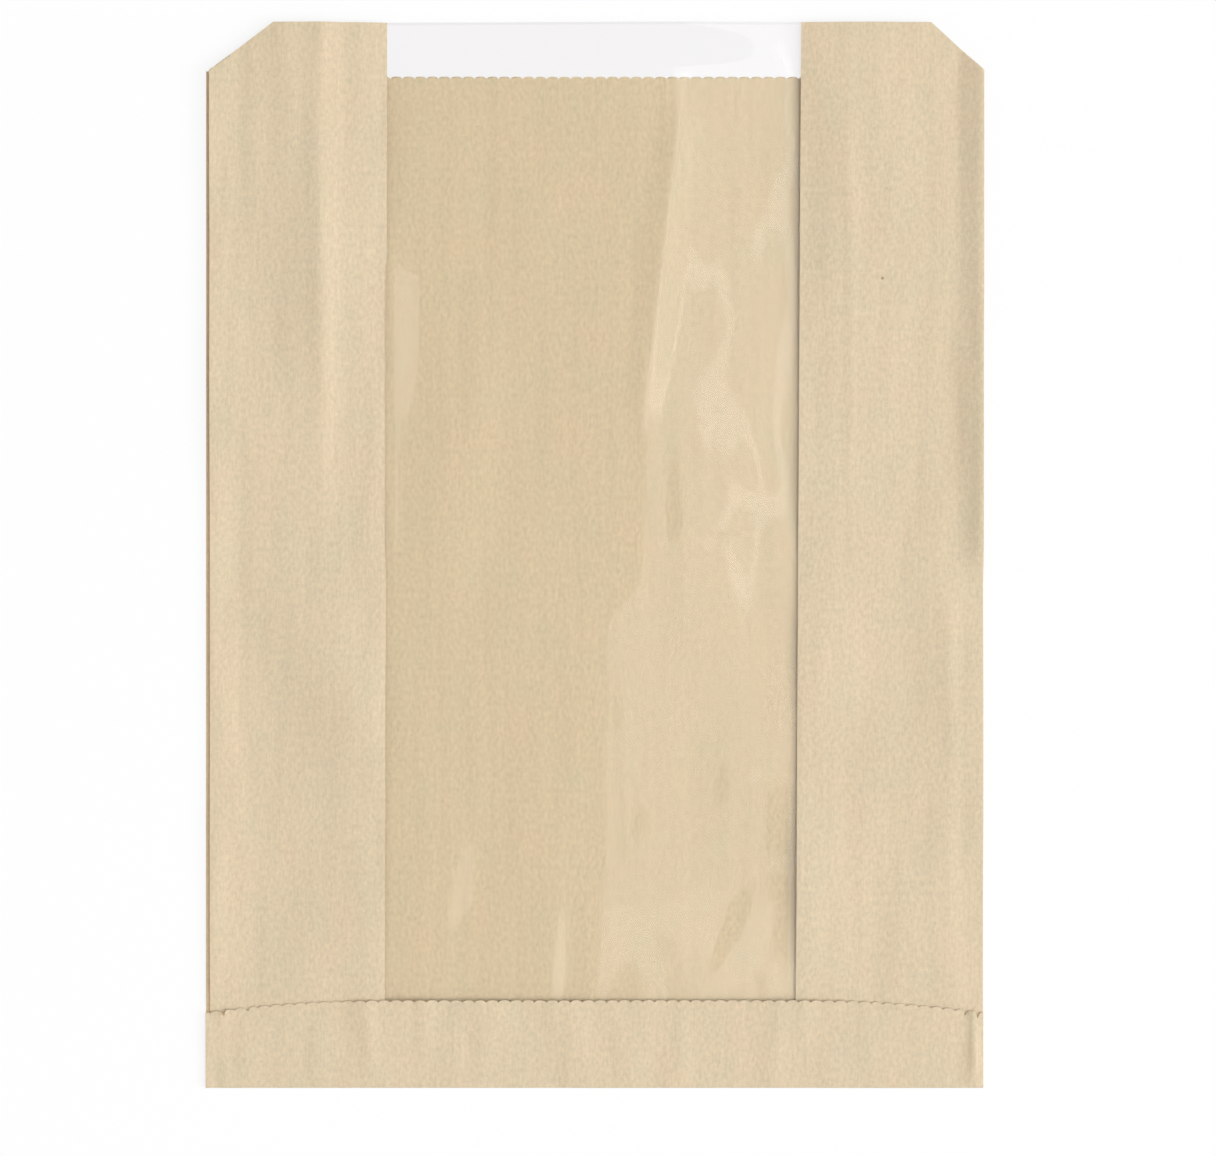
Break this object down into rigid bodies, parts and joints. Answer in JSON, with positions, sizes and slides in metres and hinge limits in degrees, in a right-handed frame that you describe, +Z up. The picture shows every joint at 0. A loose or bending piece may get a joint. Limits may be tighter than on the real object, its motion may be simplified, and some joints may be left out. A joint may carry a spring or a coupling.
{
  "type": "window bakery bag",
  "caption": "Flat kraft paper bag with side gussets, a clear film window down its front, a serrated mouth and a bottom end turned up as a flap.",
  "frame": {"origin": "under the middle of the bag, on the surface that its back lies on", "axes": "+Y from the bottom fold to the mouth, +Z up out of the front, +X to the right seen from the front"},
  "size_m": [0.2056, 0.2815, 0.0069],
  "materials": {
    "kraft_paper": "matte unbleached kraft with a fine lengthwise grain",
    "clear_film": "clear glossy film"
  },
  "bodies": {
    "root": {"paper_bag": "kraft_paper", "window_film": "clear_film"}
  },
  "joints": []
}
